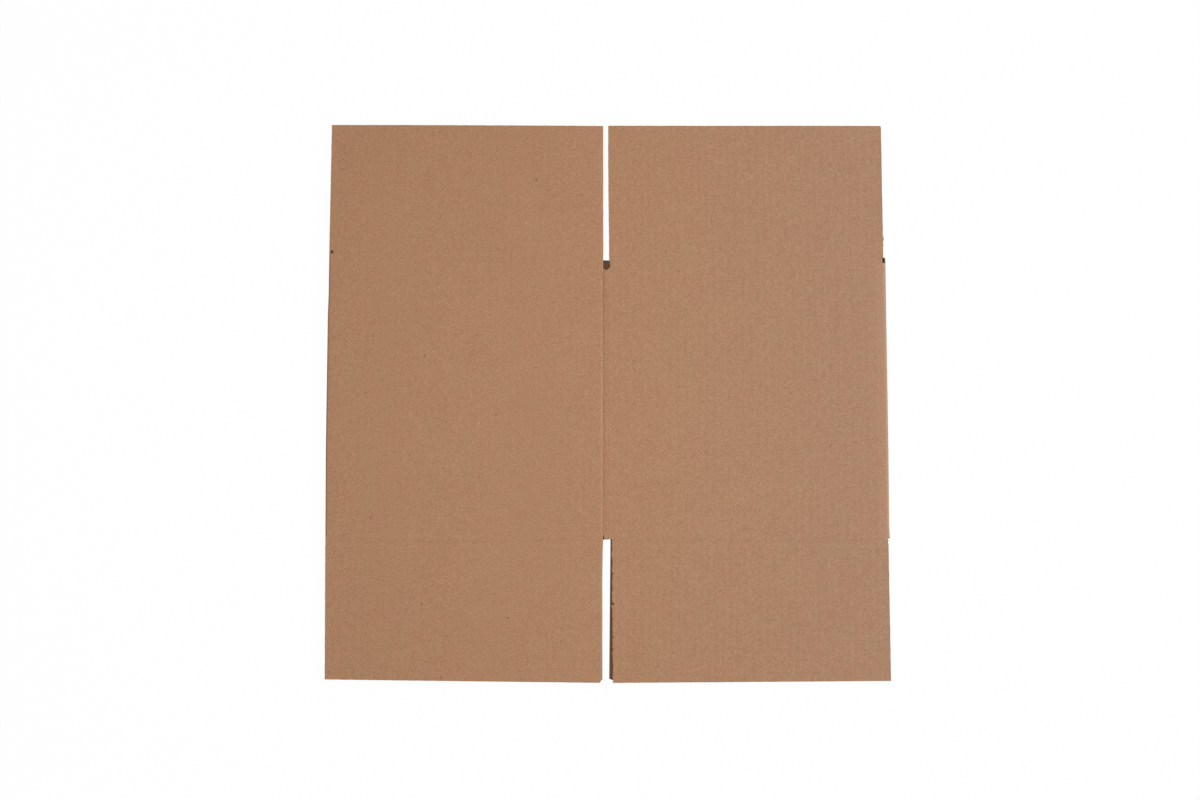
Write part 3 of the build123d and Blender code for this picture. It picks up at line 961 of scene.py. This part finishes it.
def makeFluting():
    tree = fluteTree()
    start = bpy.data.meshes.new("flutingBase")
    thickness = board["thickness"]
    waveHeight = thickness - 2 * board["liner"] - board["fluting"]
    middles = {"back": thickness / 2, "front": board["panelTop"] - thickness / 2, "climb": 0.0}
    parts = []
    for order, (startX, endX, layer, ends) in enumerate(flutingSizes["stretches"]):
        side, back = (1 if startX + endX > 0 else -1), layer == "back"
        count = max(1, round((endX - startX) / board["pitch"]))
        lows, highs = ((end, end) for end in ends) if ends else (
            [flapEnd(side, sign, x, back) for x in (startX, endX)] for sign in (-1, 1))
        mesh = meshFromTree("flutingHelper", tree, start, {
            "Flutes": count, "Segments": flutingSizes["segments"],
            "Rows": flutingSizes["backRows" if back else "frontRows"],
            "Pitch": (endX - startX) / count * mm, "Wave Height": waveHeight * mm, "Paper": board["fluting"] * mm,
            "Start X": startX * mm, "Middle Z": middles[layer] * mm, "Low Start Y": lows[0] * mm,
            "Low End Y": lows[1] * mm, "High Start Y": highs[0] * mm, "High End Y": highs[1] * mm,
            "Lean": flutingSizes["lean"] * mm, "Seed": flutingSizes["seed"] + order, "Material": flutingKraft})
        points = meshPoints(mesh) / mm
        if layer == "climb":
            points[:, 2] += panelHeight(-1, -points[:, 0]) - thickness / 2
        if not back:
            # crushed near the fold, and lifted with the liners
            base = panelHeight(side, side * points[:, 0]) - thickness
            crush = foldRoll(side, side * points[:, 0], points[:, 1]) / thickness
            points[:, 2] -= crush * (points[:, 2] - base)
            points[:, 2] += frontLift(points[:, 0], points[:, 1])
        mesh.vertices.foreach_set("co", (points * mm).ravel())
        parts.append(mesh)
    return parts


# Crushed fluting inside the bends
coreSizes = {"steps": 28, "rows": 28, "endGap": 0.15, "inset": 0.2, "outerGap": 0.75, "innerGap": 0.55,
             "crumple": 0.25, "crumpleTurn": 2.4}


def foldCore(side):
    # a crumpled sheet between the two liners of a bend, from slot root to slot root
    steps, gap = coreSizes["steps"], coreSizes["endGap"]
    rows = np.linspace(-flaps[(side, -1)]["root"] + gap, flaps[(side, 1)]["root"] - gap, coreSizes["rows"])
    angles, across, height = bendLine(side, steps)
    crumple = coreSizes["crumple"] * np.sin(np.arange(steps + 1) * coreSizes["crumpleTurn"])
    crumple = crumple - relief["roll"][side][0] * np.clip(np.sin(angles), 0, 1)
    outerRadius = board["foldRadius"] - board["liner"] - coreSizes["outerGap"]
    innerRadius = board["foldRadius"] - board["thickness"] + board["liner"] + coreSizes["innerGap"]
    faces = []
    for radius in (outerRadius + crumple, innerRadius + crumple):
        x = side * (board["foldX"] - coreSizes["inset"] + (radius - foldTuck(side, rows)) * across)
        y = np.repeat(rows[:, None], steps + 1, 1)
        z = np.repeat((board["foldZ"] + radius * height)[None], len(rows), 0)
        faces.append(np.stack([x, y, z], 2)[:, ::side])
    return slabMesh("foldCore", faces[0], faces[1], np.ones((len(rows) - 1, steps), bool))


def joinMeshes(name, meshes):
    work = bmesh.new()
    for mesh in meshes:
        work.from_mesh(mesh)
    joined = bpy.data.meshes.new(name)
    for face in work.faces:
        face.material_index = 0
    work.to_mesh(joined)
    work.free()
    return joined


fluting = addObject("fluting", joinMeshes("fluting", makeFluting() + [foldCore(1), foldCore(-1)]), flutingKraft)
settle(fluting)
print("fluting made:", len(fluting.data.polygons), "faces")

# Torn fibres along the cut edges of the front layer, in mm, with where their lines run and how many points these have
fibreSizes = {
    "spacing": 1.15, "length": 0.62, "width": 0.075, "tip": 0.012, "jitter": 0.85, "leastSize": 0.25, "seed": 9,
    "slotFrom": 130.0, "slotX": 4.0, "slotGap": 0.4, "slotPoints": 40,
    "endRun": (6.0, 249.5), "endInset": 0.1, "endPoints": 60, "seamRun": (-125.0, 118.0), "seamPoints": 80,
    "depth": 0.24, "leftDepth": 0.2, "margin": 0.02,
}


def fibreTree():
    tree, given, out = newGroup("tornFibres", "GeometryNodeTree", [
        ("Geometry", "NodeSocketGeometry", None), *floats(Spacing=0.0015, Length=0.0006, Width=0.00008, Jitter=0.8),
        ("Seed", "NodeSocketInt", 0), ("Material", "NodeSocketMaterial", None)], [("Geometry", "NodeSocketGeometry")])
    tree.is_modifier = True
    read = given.outputs
    line = addNode(tree, "GeometryNodeMeshToCurve", {"Mesh": read["Geometry"]})
    spread = addNode(tree, "GeometryNodeResampleCurve", {"Curve": line.outputs[0], "Length": read["Spacing"]},
                     mode="LENGTH")
    points = addNode(tree, "GeometryNodeCurveToPoints", {"Curve": spread.outputs[0]}, mode="EVALUATED")
    scatter = addNode(tree, "FunctionNodeRandomValue", {
        0: (-1.0, -1.0, -1.0), 1: (1.0, 1.0, 1.0), "Seed": read["Seed"]}, data_type="FLOAT_VECTOR")
    outwards = addNode(tree, "GeometryNodeInputNamedAttribute", {"Name": "outwards"}, data_type="FLOAT_VECTOR")
    jitter = addNode(tree, "ShaderNodeVectorMath", {0: scatter.outputs[0], "Scale": read["Jitter"]}, operation="SCALE")
    aim = addNode(tree, "ShaderNodeVectorMath", {0: outwards.outputs[0], 1: jitter.outputs[0]}, operation="ADD")
    turned = addNode(tree, "FunctionNodeAlignRotationToVector", {"Vector": aim.outputs[0]}, axis="Z")
    size = addNode(tree, "FunctionNodeRandomValue", {
        2: fibreSizes["leastSize"], 3: 1.0, "Seed": calc(tree, "ADD", read["Seed"], 1.0)}, data_type="FLOAT")
    sliver = addNode(tree, "GeometryNodeMeshCone", {
        "Vertices": 4, "Radius Top": fibreSizes["tip"] * mm, "Radius Bottom": read["Width"], "Depth": read["Length"]})
    placed = addNode(tree, "GeometryNodeInstanceOnPoints", {
        "Points": points.outputs[0], "Instance": sliver.outputs[0], "Rotation": turned.outputs[0],
        "Scale": size.outputs[1]})
    finishTree(tree, placed.outputs[0], read["Material"], out)
    return tree


def edgeLines():
    # polylines along the raw edges of the front layer, each with its outward direction
    lines = []
    for side in (1, -1):
        for sign in (1, -1):
            last = flapEnd(side, sign, fibreSizes["slotX"], False) - sign * fibreSizes["slotGap"]
            ys = np.linspace(sign * fibreSizes["slotFrom"], last, fibreSizes["slotPoints"])
            slot = slotEdge(side, ys) + ragged["slot"][side](ys)
            lines.append((side * slot, ys, (-float(side), 0.0, 0.0)))
            xs = side * np.linspace(*fibreSizes["endRun"], fibreSizes["endPoints"])
            ends = np.array([flapEnd(side, sign, x, False) for x in xs]) + sign * flutingSizes["recess"]
            ends = ends - sign * ragged["end"](xs, sign) - sign * fibreSizes["endInset"]
            lines.append((xs, ends, (0.0, float(sign), 0.0)))
    seam = np.linspace(*fibreSizes["seamRun"], fibreSizes["seamPoints"])
    lines.append((-(slotEdge(-1, seam) + ragged["slot"][-1](seam)), seam, (1.0, 0.0, 0.0)))
    return lines


def makeFibres():
    points, edges, outwards = [], [], []
    for xs, ys, direction in edgeLines():
        top = np.where(xs > 0, board["panelTop"], panelHeight(-1, np.abs(xs)))
        height = top + frontLift(xs, ys) - fibreSizes["depth"]
        if direction[0] > 0:
            height = height - fibreSizes["leftDepth"]
        first = len(points)
        points += [(x * mm, y * mm, z * mm) for x, y, z in zip(xs, ys, height)]
        edges += [(first + k, first + k + 1) for k in range(len(xs) - 1)]
        outwards += [direction] * len(xs)
    base = bpy.data.meshes.new("edgeLines")
    base.from_pydata(points, edges, [])
    base.attributes.new("outwards", "FLOAT_VECTOR", "POINT").data.foreach_set("vector", np.array(outwards).ravel())
    mesh = meshFromTree("fibreHelper", fibreTree(), base, {
        "Spacing": fibreSizes["spacing"] * mm, "Length": fibreSizes["length"] * mm, "Width": fibreSizes["width"] * mm,
        "Jitter": fibreSizes["jitter"], "Seed": fibreSizes["seed"], "Material": fibreKraft})
    margin = fibreSizes["margin"] * mm
    spots = np.clip(meshPoints(mesh), np.array(cadBox[0]) + margin, np.array(cadBox[1]) - margin)
    mesh.vertices.foreach_set("co", spots.ravel())
    mesh.materials.clear()
    return mesh


fibres = addObject("tornFibres", makeFibres(), fibreKraft)
settle(fibres)
print("torn fibres made:", len(fibres.data.polygons), "faces")

# Camera: a 50 mm lens about 1.5 m above the sheet, a little towards its lower edge
view = {"position": (-0.0065, -0.1385, 1.5005), "target": (-0.0065, -0.0004, 0.0070), "lens": 50.0, "sensor": 36.0}
cameraData = bpy.data.cameras.new("camera")
cameraData.lens = view["lens"]
cameraData.sensor_width = view["sensor"]
camera = bpy.data.objects.new("camera", cameraData)
camera.location = view["position"]
camera.rotation_euler = (Vector(view["target"]) - Vector(view["position"])).to_track_quat("-Z", "Y").to_euler()
bpy.context.scene.collection.objects.link(camera)
bpy.context.scene.camera = camera

# Floor and light
studio = {
    "floorSize": 12.0, "floorDrop": 0.0003, "floorColour": (0.86, 0.86, 0.86), "floorShade": 0.985, "floorTooth": 300.0,
    "floorRoughness": 0.9, "floorSpecular": 0.1, "floorGlow": 0.98, "worldLevel": 0.25,
    "keyPower": 94.0, "keySize": 0.9, "keyFrom": (2.84, 0.34, 1.86), "keyColour": (0.97, 0.985, 1.0),
    "topPower": 2.6, "topSize": 0.5, "topFrom": (-0.2, -0.03, 1.0), "topColour": (1.0, 0.99, 0.97),
}
white = rgb(1.0, 1.0, 1.0)


def whiteToLens(tree):
    # 1 where the camera, a gloss or a clear surface looks straight at it
    path = addNode(tree, "ShaderNodeLightPath")
    seen = calc(tree, "MAXIMUM", path.outputs["Is Camera Ray"], path.outputs["Is Glossy Ray"])
    return calc(tree, "MAXIMUM", seen, path.outputs["Is Transmission Ray"])


def makeFloor():
    half, drop = studio["floorSize"] / 2, -studio["floorDrop"]
    corners = [(-half, -half, drop), (half, -half, drop), (half, half, drop), (-half, half, drop)]
    mesh = bpy.data.meshes.new("floor")
    mesh.from_pydata(corners, [], [(0, 1, 2, 3)])
    floor = bpy.data.objects.new("floor", mesh)
    bpy.context.scene.collection.objects.link(floor)
    material = bpy.data.materials.new("floorPaper")
    material.use_nodes = True
    tree = material.node_tree
    shader, out = tree.nodes["Principled BSDF"], tree.nodes["Material Output"]
    place = addNode(tree, "ShaderNodeTexCoord").outputs["Object"]
    tooth = addNode(tree, "ShaderNodeTexNoise", {"Vector": place, "Scale": studio["floorTooth"], "Detail": 2.0})
    pale = studio["floorColour"]
    shade = mixColour(tree, tooth.outputs["Fac"], rgb(*[c * studio["floorShade"] for c in pale]), rgb(*pale))
    tree.links.new(shade, shader.inputs["Base Color"])
    shader.inputs["Roughness"].default_value = studio["floorRoughness"]
    shader.inputs["Specular IOR Level"].default_value = studio["floorSpecular"]
    glow = addNode(tree, "ShaderNodeEmission", {"Color": white, "Strength": 1.0})
    share = calc(tree, "MULTIPLY", whiteToLens(tree), studio["floorGlow"])
    mixed = addNode(tree, "ShaderNodeMixShader", {0: share, 1: shader.outputs[0], 2: glow.outputs[0]})
    tree.links.new(mixed.outputs[0], out.inputs["Surface"])
    mesh.materials.append(material)
    floor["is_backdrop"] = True


def makeWorld():
    world = bpy.data.worlds.new("studio")
    world.use_nodes = True
    bpy.context.scene.world = world
    tree = world.node_tree
    tree.nodes.clear()
    fill = addNode(tree, "ShaderNodeBackground", {"Color": white, "Strength": studio["worldLevel"]})
    plain = addNode(tree, "ShaderNodeBackground", {"Color": white, "Strength": 1.0})
    mixed = addNode(tree, "ShaderNodeMixShader", {0: whiteToLens(tree), 1: fill.outputs[0], 2: plain.outputs[0]})
    out = addNode(tree, "ShaderNodeOutputWorld")
    tree.links.new(mixed.outputs[0], out.inputs["Surface"])


def softLight(label):
    place = studio[label + "From"]
    data = bpy.data.lights.new(label + "Light", "AREA")
    data.shape, data.size = "DISK", studio[label + "Size"]
    data.energy, data.color = studio[label + "Power"], studio[label + "Colour"]
    lamp = bpy.data.objects.new(label + "Light", data)
    lamp.location = place
    lamp.rotation_euler = (-Vector(place)).to_track_quat("-Z", "Y").to_euler()
    lamp.visible_camera = False
    bpy.context.scene.collection.objects.link(lamp)


makeFloor()
makeWorld()
softLight("key")
softLight("top")
bpy.context.scene.view_settings.view_transform = "Standard"
print("floor, light and camera made")

triangles = {o.name: sum(len(p.vertices) - 2 for p in o.data.polygons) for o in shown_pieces() if o.type == "MESH"}
print("triangles:", triangles, "in all", sum(triangles.values()))
